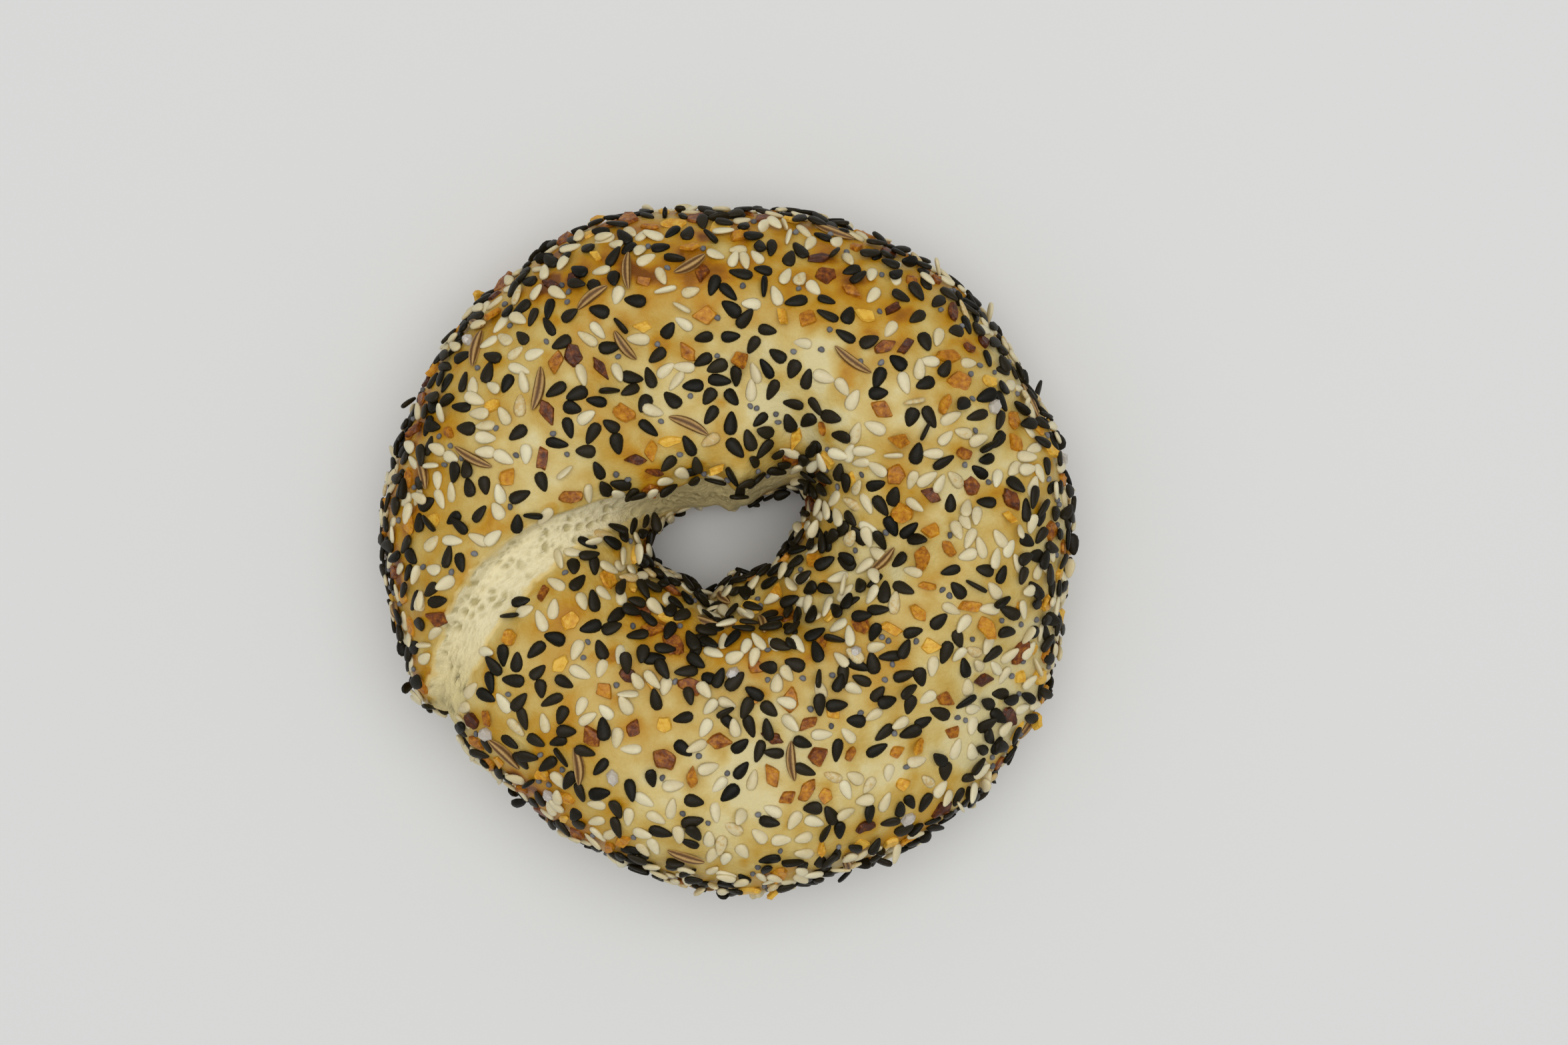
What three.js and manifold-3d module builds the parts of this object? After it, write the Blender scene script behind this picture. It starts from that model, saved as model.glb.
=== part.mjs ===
// An everything bagel: one baked ring of twisted dough, torn open along one fold, with the larger
// of its seeds and toasted onion flakes fused to the crust.
// Millimetres, +Z up. The origin is on the table, under the middle of the ring. Seen from above,
// +X is to the right and the tear runs from the hole out to the lower left.
import * as THREE from "three";
import { mergeVertices } from "three/addons/utils/BufferGeometryUtils.js";
import Module from "manifold-3d";

const wasm = await Module();
wasm.setup();

// The ring. Angles are in degrees: turn goes round the ring from +X towards +Y, and tilt goes round
// the dough itself, from 0 at the outer rim, over 90 at the top, to 180 in the hole.
const ringDiameter = 105.4; // over the crust, without seeds
const holeDiameter = 18.5;
const ringHeight = 36.2;
const widestHeight = 14.5; // where the dough's section is widest
const pressedFlat = 2.6; // how much of the round underside the baking board took off
const topFullness = 2.25; // exponent of the cross-section: 2 is an ellipse, more is boxier
const baseFullness = 2.7;
const ringCentre = [0.64, 0.77]; // brings the middle of the seeded ring over the origin
const ringRadius = (ringDiameter + holeDiameter) / 4; // to the middle of the dough
const tubeRadius = 19; // mean radius of the dough's section

// Waves that make the rim, the hole and the crown uneven: [times round, size in mm, turn of its peak].
const rimWaves = [[2, 0.7, -38], [3, 0.3, -64], [4, 0.38, 30], [5, 0.3, -17]];
const holeWaves = [[1, 0.6, 142], [2, 3.5, 14], [3, 1.1, 37], [4, 0.5, 25], [5, 0.9, -36]];
const crownWaves = [[1, 0.5, 150], [2, 0.45, 75], [3, 0.4, 20]];
const dents = [[219, -4, 14, 2.2]]; // turn, tilt, reach and depth: the torn edge draws the rim in

// The rope of dough was twisted once on its way round. The twist line shows where: a list of
// [turn, tilt] over one lap, with one point more at each end. Along part of it the crust tore open.
const twistLine = [
  [-15, 214], [40, 178], [60, 171], [75, 166], [100, 162], [130, 164], [148, 161], [161, 147],
  [172, 125], [180, 109], [189, 92], [196, 78], [202, 63], [207, 47], [211, 27], [215, 2],
  [219, -25], [225, -58], [240, -85], [270, -105], [345, -146], [400, -182], [420, -189],
];
const tear = {
  path: twistLine,
  from: 42,
  to: 228,
  fade: 24,
  // The tear is wide in the hole, narrow on top of the ring and a little wider at the rim.
  halfWidths: [[-15, 4], [40, 5], [75, 5.6], [145, 5.6], [166, 3.4], [200, 3.5], [212, 4], [345, 4]],
  depths: [[-15, 1.2], [40, 3.2], [192, 3.2], [214, 1.2], [345, 1.2]],
  lip: 0.8, // how far the crust stands up along the torn edge
};

// Shallow folds that wind out of the hole, over the top and down the rim.
const folds = [
  {
    path: [[14, 184], [28, 168], [45, 150], [61, 124], [76, 107], [92, 98], [115, 93], [138, 90], [160, 88]],
    from: 28,
    to: 138,
    fade: 24,
    halfWidth: 5,
    depth: 2.4,
  },
  {
    path: [
      [215, 180], [232, 172], [250, 163], [273, 152], [310, 140], [332, 130],
      [349, 120], [365, 100], [377, 68], [386, 34], [396, -5], [406, -40],
    ],
    from: 232,
    to: 396,
    fade: 26,
    halfWidth: 4.2,
    depth: 2.3,
  },
  {
    path: [
      [205, 140], [222, 118], [240, 98], [256, 89], [276, 84], [296, 76],
      [317, 62], [337, 44], [352, 20], [364, -8], [376, -35],
    ],
    from: 222,
    to: 364,
    fade: 26,
    halfWidth: 6,
    depth: 1.5,
  },
];

// Mesh rows run along the twist line, so that they follow the torn edge: tilts from it, closest there.
const rowsFromTwist = [-34, -25, -18, -13.5, -10.5, -8, -4, 1, 7, 13, 20, 28, 38, 50];
const rowsFitWidth = 4.4; // half width of a tear, across the section, that those tilts are made for
const rowsBehind = 18; // evenly over the rest of the section
const turnSteps = 72;

// Toppings, the largest first. Sizes are [length, width, thickness], and clear is the room round each.
const toppings = [
  { name: "onion flake", count: 24, size: [3.6, 2.9, 1.1], clear: 2.2 },
  { name: "caraway", count: 14, size: [5.6, 1.5, 1.3], clear: 2.4 },
  { name: "sesame", count: 132, size: [3.2, 2.0, 1.0], clear: 1.6 },
];
const seatDepth = 0.3; // how deep a topping sits in the crust
const lowestTopping = 3.0; // none sits lower than this above the table
const lowestTilt = -70;
const randomSeed = 20;

const radians = THREE.MathUtils.degToRad;
const smoothstep = (x, low, high) => THREE.MathUtils.smoothstep(x, low, high);

function randomFrom(seed) {
  let state = seed >>> 0;
  return () => {
    state = (state + 0x6d2b79f5) >>> 0;
    let mixed = Math.imul(state ^ (state >>> 15), state | 1);
    mixed ^= mixed + Math.imul(mixed ^ (mixed >>> 7), mixed | 61);
    return ((mixed ^ (mixed >>> 14)) >>> 0) / 4294967296;
  };
}

function wavesAt(waves, turn) {
  return waves.reduce((sum, [times, size, peak]) => sum + size * Math.cos(radians(times * (turn - peak))), 0);
}

// Tilt of a line at a turn, by a smooth curve through its points, with its rate of change.
function lineAt(path, turn) {
  let k = 1;
  while (k < path.length - 3 && turn > path[k + 1][0]) k++;
  const slopeAt = (i) => (path[i + 1][1] - path[i - 1][1]) / (path[i + 1][0] - path[i - 1][0]);
  const [x0, y0] = path[k];
  const [x1, y1] = path[k + 1];
  const span = x1 - x0;
  const t = (turn - x0) / span;
  const tilt = y0 * (1 + 2 * t) * (1 - t) ** 2 + slopeAt(k) * span * t * (1 - t) ** 2
    + y1 * t * t * (3 - 2 * t) + slopeAt(k + 1) * span * t * t * (t - 1);
  return { tilt, slope: slopeAt(k) * (1 - t) + slopeAt(k + 1) * t };
}

// A value at a turn, straight between the points of a list of [turn, value].
function valueAt(list, turn) {
  let k = 1;
  while (k < list.length - 1 && turn > list[k][0]) k++;
  const [[turn0, value0], [turn1, value1]] = [list[k - 1], list[k]];
  return THREE.MathUtils.lerp(value0, value1, THREE.MathUtils.clamp((turn - turn0) / (turn1 - turn0), 0, 1));
}

function wrapAngle(angle) {
  return THREE.MathUtils.euclideanModulo(angle + 180, 360) - 180;
}

// Where a point lies against a fold: across it in half widths, negative on the rim's side, and the
// fold's strength there, which fades at both ends.
function againstFold(fold, turn, tilt) {
  const fromAxis = ringRadius + tubeRadius * Math.cos(radians(tilt));
  let best = { across: 99, strength: 0 };
  for (const lap of [-360, 0, 360]) {
    const wrapped = turn + lap;
    if (wrapped < fold.from || wrapped > fold.to) continue;
    const line = lineAt(fold.path, wrapped);
    const lean = (line.slope * tubeRadius) / fromAxis; // how steeply the line crosses the section
    const apart = radians(wrapAngle(tilt - line.tilt)) * tubeRadius;
    const halfWidth = fold.halfWidths ? valueAt(fold.halfWidths, wrapped) : fold.halfWidth;
    const across = apart / Math.hypot(1, lean) / halfWidth;
    const begun = smoothstep(wrapped, fold.from, fold.from + fold.fade);
    const ended = smoothstep(wrapped, fold.to - fold.fade, fold.to);
    if (Math.abs(across) < Math.abs(best.across)) best = { across, strength: begun * (1 - ended) };
  }
  return best;
}

// How far the crust stands out of, or lies under, the plain ring.
function reliefAt(turn, tilt) {
  const hump = (x, middle, width) => Math.exp(-(((x - middle) / width) ** 2));
  const waves = 0.3 * Math.sin(radians(7 * turn + 2 * tilt)) + 0.25 * Math.sin(radians(11 * turn - 3 * tilt));
  const { across, strength } = againstFold(tear, turn, tilt);
  const torn = smoothstep(across, -1.25, -0.75) * (1 - smoothstep(across, 0.2, 1.7));
  const depth = valueAt(tear.depths, turn > 345 ? turn - 360 : turn);
  let relief = waves - depth * strength * torn;
  relief += tear.lip * strength * (hump(across, -1.9, 0.8) + hump(across, 2.3, 0.9));
  for (const [dentTurn, dentTilt, reach, depth] of dents) {
    const aside = radians(wrapAngle(turn - dentTurn)) * (ringRadius + tubeRadius * Math.cos(radians(dentTilt)));
    const around = radians(wrapAngle(tilt - dentTilt)) * tubeRadius;
    relief -= depth * Math.exp(-(aside ** 2 + around ** 2) / reach ** 2);
  }
  for (const fold of folds) {
    const near = againstFold(fold, turn, tilt);
    relief -= fold.depth * near.strength * hump(near.across, 0, 1);
    relief += 0.3 * fold.depth * near.strength * (hump(near.across, -2, 0.9) + hump(near.across, 2, 0.9));
  }
  return relief;
}

// A point of the crust.
function crustPoint(turn, tilt) {
  const outer = ringDiameter / 2 + wavesAt(rimWaves, turn);
  const inner = holeDiameter / 2 + wavesAt(holeWaves, turn);
  const top = ringHeight + wavesAt(crownWaves, turn);
  const half = (outer - inner) / 2;
  const out = Math.cos(radians(tilt));
  const up = Math.sin(radians(tilt));
  const rise = up > 0 ? top - widestHeight : widestHeight + pressedFlat;
  const fullness = up > 0 ? topFullness : baseFullness;
  const bow = (value) => Math.sign(value) * Math.abs(value) ** (2 / fullness);
  const facing = new THREE.Vector2(out / half, up / rise).normalize().multiplyScalar(reliefAt(turn, tilt));
  const radius = (outer + inner) / 2 + half * bow(out) + facing.x;
  return new THREE.Vector3(
    radius * Math.cos(radians(turn)) + ringCentre[0],
    radius * Math.sin(radians(turn)) + ringCentre[1],
    widestHeight + rise * bow(up) + facing.y,
  );
}

// Position and frame on the crust: columns are along, across and out of the surface.
function crustFrame(turn, tilt, spin) {
  const step = 0.6;
  const here = crustPoint(turn, tilt);
  const alongTurn = crustPoint(turn + step, tilt).sub(crustPoint(turn - step, tilt));
  const alongTilt = crustPoint(turn, tilt + step).sub(crustPoint(turn, tilt - step));
  const normal = alongTurn.clone().cross(alongTilt).normalize();
  const ahead = alongTurn.normalize().applyAxisAngle(normal, spin);
  const aside = normal.clone().cross(ahead).normalize();
  return { here, ahead, aside, normal };
}

function solidOf(geometry) {
  const bare = geometry.clone();
  bare.deleteAttribute("normal");
  bare.deleteAttribute("uv");
  const merged = mergeVertices(bare, 1e-4);
  return new wasm.Manifold(new wasm.Mesh({
    numProp: 3,
    vertProperties: new Float32Array(merged.attributes.position.array),
    triVerts: new Uint32Array(merged.index.array),
  }));
}

// A closed skin through rings of points: each ring holds the same number, and a tip closes each end.
function loftedGeometry(rings, firstTip, lastTip) {
  const sides = rings[0].length;
  const points = [...rings.flat(), firstTip, lastTip];
  const first = points.length - 2;
  const last = points.length - 1;
  const faces = [];
  for (let s = 0; s < sides; s++) {
    const next = (s + 1) % sides;
    const end = (rings.length - 1) * sides;
    faces.push(first, next, s, last, end + s, end + next);
    for (let r = 0; r < rings.length - 1; r++) {
      const a = r * sides;
      faces.push(a + s, a + next, a + sides + next, a + s, a + sides + next, a + sides + s);
    }
  }
  const geometry = new THREE.BufferGeometry();
  geometry.setAttribute("position", new THREE.Float32BufferAttribute(points.flatMap((p) => p.toArray()), 3));
  return geometry.setIndex(faces);
}

// A flat teardrop: pointed at one end and round at the other.
function sesameGeometry([length, width, thickness]) {
  const stations = [[-0.24, 0.68], [0.2, 1.0]]; // [place along the length, share of the width]
  const rings = stations.map(([place, share]) => [-90, -18, 54, 126, 198].map((degrees) => new THREE.Vector3(
    place * length,
    (share * width / 2) * Math.cos(radians(degrees)) * 1.05,
    (share * thickness / 2) * Math.sin(radians(degrees)) * 1.15,
  )));
  return loftedGeometry(rings, new THREE.Vector3(-length / 2, 0, 0), new THREE.Vector3(length / 2, 0, 0));
}

// A thin crescent.
function carawayGeometry([length, width, thickness]) {
  const bend = 0.16 * length;
  const bowed = (place) => bend * (0.5 - 4 * place * place);
  const share = (place) => 1 - 3 * place * place; // of the full width
  const rings = [-0.25, 0, 0.25].map((place) => [0, 72, 144, 216, 288].map((degrees) => new THREE.Vector3(
    place * length,
    bowed(place) + (width / 2) * share(place) * Math.cos(radians(degrees)),
    (thickness / 2) * share(place) * Math.sin(radians(degrees)),
  )));
  const [start, end] = [-0.5, 0.5].map((place) => new THREE.Vector3(place * length, bowed(place), 0));
  return loftedGeometry(rings, start, end);
}

// A chip of onion or garlic: a thin five-sided block with uneven corners.
function flakeGeometry([length, width, thickness], random) {
  const corners = [0, 72, 144, 216, 288].map((degrees) => ({
    degrees: degrees + 24 * (random() - 0.5),
    reach: 0.75 + 0.4 * random(),
  }));
  const ring = (height, share) => corners.map(({ degrees, reach }) => new THREE.Vector3(
    share * reach * (length / 2) * Math.cos(radians(degrees)),
    share * reach * (width / 2) * Math.sin(radians(degrees)),
    height,
  ));
  const rings = [ring(-thickness / 2, 1), ring(thickness / 2, 0.82)];
  const underside = new THREE.Vector3(0, 0, -thickness / 2);
  const crown = new THREE.Vector3(0, 0, thickness / 2 + 0.15);
  return loftedGeometry(rings, underside, crown);
}

const geometryOf = { "onion flake": flakeGeometry, caraway: carawayGeometry, sesame: sesameGeometry };

// Tilts of the mesh rows where they cross one turn: further apart where the tear is wide or steep.
function rowTilts(turn) {
  const [lapStart, lapEnd] = [twistLine[1][0], twistLine[twistLine.length - 2][0]];
  const wrapped = turn < lapStart ? turn + lapEnd - lapStart : turn;
  const { tilt, slope } = lineAt(twistLine, wrapped);
  const lean = (slope * tubeRadius) / (ringRadius + tubeRadius * Math.cos(radians(tilt)));
  const spread = (valueAt(tear.halfWidths, wrapped) * Math.hypot(1, lean)) / rowsFitWidth;
  const nearest = rowsFromTwist.map((offset) => tilt + offset * spread);
  const start = nearest[nearest.length - 1];
  const step = (360 + nearest[0] - start) / (rowsBehind + 1);
  const behind = Array.from({ length: rowsBehind }, (unused, k) => start + (k + 1) * step);
  return [...nearest, ...behind];
}

// The grid is closed both ways: the twist makes up exactly one lap of the section on the way round.
function doughGeometry() {
  const rows = rowsFromTwist.length + rowsBehind;
  const positions = [];
  const faces = [];
  for (let i = 0; i < turnSteps; i++) {
    const turn = (i * 360) / turnSteps;
    positions.push(...rowTilts(turn).flatMap((tilt) => crustPoint(turn, tilt).toArray()));
    const nextRow = ((i + 1) % turnSteps) * rows;
    for (let j = 0; j < rows; j++) {
      const [a, b] = [i * rows + j, i * rows + ((j + 1) % rows)];
      const [c, d] = [nextRow + j, nextRow + ((j + 1) % rows)];
      faces.push(a, c, d, a, d, b);
    }
  }
  const geometry = new THREE.BufferGeometry();
  geometry.setAttribute("position", new THREE.Float32BufferAttribute(positions, 3));
  return geometry.setIndex(faces);
}

// Drops the toppings by a seeded rule: each falls anywhere on the crust that is not torn, not pressed
// on the table, and far enough from those already there.
function toppingSolids() {
  const random = randomFrom(randomSeed);
  const placed = [];
  const solids = [];
  for (const topping of toppings) {
    let made = 0;
    for (let attempt = 0; made < topping.count && attempt < 6000; attempt++) {
      const turn = 360 * random();
      const tilt = lowestTilt + (180 - 2 * lowestTilt) * random();
      const spin = 2 * Math.PI * random();
      // Rings of the crust near the hole are shorter, so they take fewer.
      const fromAxis = ringRadius + tubeRadius * Math.cos(radians(tilt));
      if (random() > fromAxis / (ringRadius + tubeRadius)) continue;
      const nearTear = againstFold(tear, turn, tilt);
      if (Math.abs(nearTear.across) < 1.45 && nearTear.strength > 0.05) continue;
      const { here, ahead, aside, normal } = crustFrame(turn, tilt, spin);
      if (here.z < lowestTopping) continue;
      if (placed.some((other) => other.here.distanceTo(here) < topping.clear + other.clear)) continue;
      const size = topping.size.map((value) => value * (0.88 + 0.24 * random()));
      const middle = here.clone().addScaledVector(normal, size[2] / 2 - seatDepth);
      const matrix = new THREE.Matrix4().makeBasis(ahead, aside, normal).setPosition(middle);
      solids.push(solidOf(geometryOf[topping.name](size, random).applyMatrix4(matrix)));
      placed.push({ here, clear: topping.clear });
      made++;
    }
  }
  return solids;
}

// The dough, pressed flat on the table, with its toppings fused on.
function bagelGeometry() {
  const slab = new THREE.BoxGeometry(2 * ringDiameter, 2 * ringDiameter, ringHeight);
  slab.translate(0, 0, -ringHeight / 2);
  const dough = solidOf(doughGeometry()).subtract(solidOf(slab));
  const bagel = wasm.Manifold.union([dough, ...toppingSolids()]);
  const whole = bagel.decompose().sort((a, b) => b.volume() - a.volume())[0];
  const mesh = whole.getMesh();
  const positions = [];
  for (let v = 0; v < mesh.numVert; v++) {
    const at = v * mesh.numProp;
    positions.push(...mesh.vertProperties.subarray(at, at + 3));
  }
  const geometry = new THREE.BufferGeometry();
  geometry.setAttribute("position", new THREE.Float32BufferAttribute(positions, 3));
  geometry.setIndex([...mesh.triVerts]);
  geometry.computeVertexNormals();
  return geometry;
}

const crust = new THREE.MeshStandardMaterial({ color: 0xc99a4e, roughness: 0.5, metalness: 0 });

const bagel = new THREE.Mesh(bagelGeometry(), crust);
bagel.name = "bagel";

const group = new THREE.Group();
group.add(bagel);

export default group;
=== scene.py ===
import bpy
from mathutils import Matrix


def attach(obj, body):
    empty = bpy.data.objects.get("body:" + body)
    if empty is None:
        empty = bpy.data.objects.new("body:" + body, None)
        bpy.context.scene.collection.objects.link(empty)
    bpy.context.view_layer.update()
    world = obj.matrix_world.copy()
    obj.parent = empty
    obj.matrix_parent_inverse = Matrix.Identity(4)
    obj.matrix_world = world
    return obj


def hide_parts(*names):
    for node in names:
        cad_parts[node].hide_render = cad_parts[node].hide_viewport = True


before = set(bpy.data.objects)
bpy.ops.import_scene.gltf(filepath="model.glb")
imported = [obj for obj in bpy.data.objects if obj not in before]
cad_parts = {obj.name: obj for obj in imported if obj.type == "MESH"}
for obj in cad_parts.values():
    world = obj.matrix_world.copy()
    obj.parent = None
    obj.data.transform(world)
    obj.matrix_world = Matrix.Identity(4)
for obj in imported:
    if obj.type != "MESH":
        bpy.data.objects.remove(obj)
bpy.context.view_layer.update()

import math
import random

import bpy
import numpy as np
from mathutils import Matrix, Vector
from mathutils.kdtree import KDTree

mm = 0.001  # shapes below are worked out in millimetres, Blender's objects are in metres
print("bagel: frame loaded")

# The ring of dough. Turn is the angle round the ring from +X towards +Y, tilt the angle round the
# dough itself: 0 at the outer rim, 90 at the top, 180 in the hole. Both are in degrees.
ring = {
    "diameter": 105.4,
    "holeDiameter": 18.5,
    "height": 36.2,
    "widestHeight": 14.5,
    "pressedFlat": 2.6,  # how much of the round underside the baking board took off
    "baseRounding": 0.9,
    "topFullness": 2.25,
    "baseFullness": 2.7,
    "centre": (0.64, 0.77),
    "tubeRadius": 19.0,
    # Waves are given as how many go round, how large they are, and the turn of a peak.
    "rimWaves": [(2, 0.7, -38), (3, 0.3, -64), (4, 0.38, 30), (5, 0.3, -17)],
    "holeWaves": [(1, 0.6, 142), (2, 3.5, 14), (3, 1.1, 37), (4, 0.5, 25), (5, 0.9, -36)],
    "crownWaves": [(1, 0.5, 150), (2, 0.45, 75), (3, 0.4, 20)],
    "lumps": [(0.3, 7, 2), (0.25, 11, -3)],  # size, times round the ring, times round the dough
    "dents": [(219, -4, 14, 2.2)],  # turn, tilt, reach and depth: the torn edge draws the rim in
}
ring["middleRadius"] = (ring["diameter"] + ring["holeDiameter"]) / 4

# The rope of dough was twisted once on its way round; part of the twist line tore open.
twistLine = [
    (-15, 214), (40, 178), (60, 171), (75, 166), (100, 162), (130, 164), (148, 161), (161, 147),
    (172, 125), (180, 109), (189, 92), (196, 78), (202, 63), (207, 47), (211, 27), (215, 2),
    (219, -25), (225, -58), (240, -85), (270, -105), (345, -146), (400, -182), (420, -189),
]
tear = {
    "path": twistLine,
    "start": 42, "end": 228, "fade": 24,  # turns
    "halfWidths": [(-15, 4), (40, 5), (75, 5.6), (145, 5.6), (166, 3.4), (200, 3.5), (212, 4), (345, 4)],
    "depths": [(-15, 1.2), (40, 3.2), (192, 3.2), (214, 1.2), (345, 1.2)],
    "sinksFrom": (-1.25, -0.75),  # these are in half widths from the twist line
    "sinksTo": (0.2, 1.7),
    "lip": 0.8,
    "lips": [(-1.9, 0.8), (2.3, 0.9)],  # middle and width
    "crumbTo": [  # the edge on the hole's side, in half widths
        (-15, 0.6), (55, 0.8), (72, 2.3), (132, 2.3), (150, 1.15), (165, 0.8),
        (190, 0.72), (208, 0.6), (345, 0.6),
    ],
    "crumbFrom": (-1.2, -1.04),  # the edge on the rim's side, where it begins and is full
    "edgeBlend": 0.12,
    "raggedness": 0.14,  # of the half width
}
foldLip = 0.3  # of the fold's depth, on both sides of it
folds = [
    {
        "path": [
            (14, 184), (28, 168), (45, 150), (61, 124), (76, 107), (92, 98), (115, 93),
            (138, 90), (160, 88),
        ],
        "start": 28, "end": 138, "fade": 24, "halfWidth": 5.0, "depth": 2.4,
    },
    {
        "path": [
            (215, 180), (232, 172), (250, 163), (273, 152), (310, 140), (332, 130),
            (349, 120), (365, 100), (377, 68), (386, 34), (396, -5), (406, -40),
        ],
        "start": 232, "end": 396, "fade": 26, "halfWidth": 4.2, "depth": 2.3,
    },
    {
        "path": [
            (205, 140), (222, 118), (240, 98), (256, 89), (276, 84), (296, 76),
            (317, 62), (337, 44), (352, 20), (364, -8), (376, -35),
        ],
        "start": 222, "end": 364, "fade": 26, "halfWidth": 6.0, "depth": 1.5,
    },
]


def smoothstep(x, low, high):
    t = np.clip((x - low) / (high - low), 0, 1)
    return t * t * (3 - 2 * t)


def hump(x, middle, width):
    return np.exp(-(((x - middle) / width) ** 2))


def wavesAt(waves, turn):
    return sum(size * np.cos(np.radians(times * (turn - peak))) for times, size, peak in waves)


def hashed(cells, seed):  # one random number from 0 to 1 for each whole-numbered cell
    value = cells[:, 0] * 73856093 ^ cells[:, 1] * 19349663 ^ cells[:, 2] * 83492791 ^ (seed * 2654435761)
    value &= 0xFFFFFFFF
    value = (value ^ (value >> 15)) * 2246822519 & 0xFFFFFFFF
    value = (value ^ (value >> 13)) * 3266489917 & 0xFFFFFFFF
    return ((value ^ (value >> 16)) & 0xFFFFFF) / 0x1000000


def softNoise(points, size, seed):  # smooth lumps from -1 to 1, about one every size millimetres
    grid = points / size
    corner = np.floor(grid).astype(np.int64)
    t = grid - corner
    t = t * t * (3 - 2 * t)
    total = np.zeros(len(points))
    for step in np.ndindex(2, 2, 2):
        weight = np.prod(np.where(np.array(step) == 1, t, 1 - t), axis=1)
        total += weight * hashed(corner + np.array(step), seed)
    return 2 * total - 1


def cellWalls(points, size, seed):  # 0 on the walls between cells, more inside them
    grid = points / size
    corner = np.floor(grid).astype(np.int64)
    nearest = np.full(len(points), 9.0)
    second = np.full(len(points), 9.0)
    for step in np.ndindex(3, 3, 3):
        cell = corner + np.array(step) - 1
        spot = cell + np.stack([hashed(cell, seed + k) for k in range(3)], axis=1)
        apart = np.linalg.norm(grid - spot, axis=1)
        second = np.minimum(second, np.maximum(nearest, apart))
        nearest = np.minimum(nearest, apart)
    return second - nearest


def lineAt(path, turn):  # tilt and slope at each turn of a smooth curve through a line's points
    path = np.array(path, float)
    k = np.clip(np.searchsorted(path[:, 0], turn, side="left") - 1, 1, len(path) - 3)
    slopes = np.zeros(len(path))
    slopes[1:-1] = (path[2:, 1] - path[:-2, 1]) / (path[2:, 0] - path[:-2, 0])
    span = path[k + 1, 0] - path[k, 0]
    t = (turn - path[k, 0]) / span
    tilt = path[k, 1] * (1 + 2 * t) * (1 - t) ** 2 + slopes[k] * span * t * (1 - t) ** 2
    tilt += path[k + 1, 1] * t * t * (3 - 2 * t) + slopes[k + 1] * span * t * t * (t - 1)
    return tilt, slopes[k] * (1 - t) + slopes[k + 1] * t


def layered(points, layers):  # soft noises laid over each other: height, size, seed
    return sum(height * softNoise(points, size, seed) for height, size, seed in layers)


def alongTear(points, turn):  # a value at each turn, from a list that begins where the twist begins
    return valueAt(points, np.where(turn > 345, turn - 360, turn))


def valueAt(points, turn):  # straight between the points of a list of turn and value
    turns, values = zip(*points)
    return np.interp(turn, turns, values)


def wrapAngle(angle):
    return np.mod(angle + 180, 360) - 180


def fromAxisAt(tilt):  # how far the middle of the dough's surface is from the ring's axis
    return ring["middleRadius"] + ring["tubeRadius"] * np.cos(np.radians(tilt))


# Across a fold in half widths, negative on the rim's side, and the fold's strength there.
def againstFold(fold, turn, tilt):
    fromAxis = fromAxisAt(tilt)
    bestAcross = np.full(len(turn), 99.0)
    bestStrength = np.zeros(len(turn))
    for lap in (-360, 0, 360):
        wrapped = turn + lap
        inside = (wrapped >= fold["start"]) & (wrapped <= fold["end"])
        lineTilt, slope = lineAt(fold["path"], np.clip(wrapped, fold["start"], fold["end"]))
        lean = slope * ring["tubeRadius"] / fromAxis
        apart = np.radians(wrapAngle(tilt - lineTilt)) * ring["tubeRadius"]
        halfWidth = valueAt(fold["halfWidths"], wrapped) if "halfWidths" in fold else fold["halfWidth"]
        across = apart / np.hypot(1, lean) / halfWidth
        begun = smoothstep(wrapped, fold["start"], fold["start"] + fold["fade"])
        ended = smoothstep(wrapped, fold["end"] - fold["fade"], fold["end"])
        better = inside & (np.abs(across) < np.abs(bestAcross))
        bestAcross = np.where(better, across, bestAcross)
        bestStrength = np.where(better, begun * (1 - ended), bestStrength)
    return bestAcross, bestStrength


def plainPoint(turn, tilt, relief):  # a point of the ring, with the crust standing out by relief
    outer = ring["diameter"] / 2 + wavesAt(ring["rimWaves"], turn)
    inner = ring["holeDiameter"] / 2 + wavesAt(ring["holeWaves"], turn)
    top = ring["height"] + wavesAt(ring["crownWaves"], turn)
    half = (outer - inner) / 2
    out, up = np.cos(np.radians(tilt)), np.sin(np.radians(tilt))
    rise = np.where(up > 0, top - ring["widestHeight"], ring["widestHeight"] + ring["pressedFlat"])
    power = 2 / np.where(up > 0, ring["topFullness"], ring["baseFullness"])
    facing = np.stack([out / half, up / rise])
    facing /= np.linalg.norm(facing, axis=0)
    radius = (outer + inner) / 2 + half * np.sign(out) * np.abs(out) ** power + facing[0] * relief
    height = ring["widestHeight"] + rise * np.sign(up) * np.abs(up) ** power + facing[1] * relief
    rounding = ring["baseRounding"]
    height = np.where(height < 4 * rounding, (height + np.sqrt(height ** 2 + rounding ** 2)) / 2, height)
    return np.stack([
        radius * np.cos(np.radians(turn)) + ring["centre"][0],
        radius * np.sin(np.radians(turn)) + ring["centre"][1],
        height,
    ], axis=1)


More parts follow.
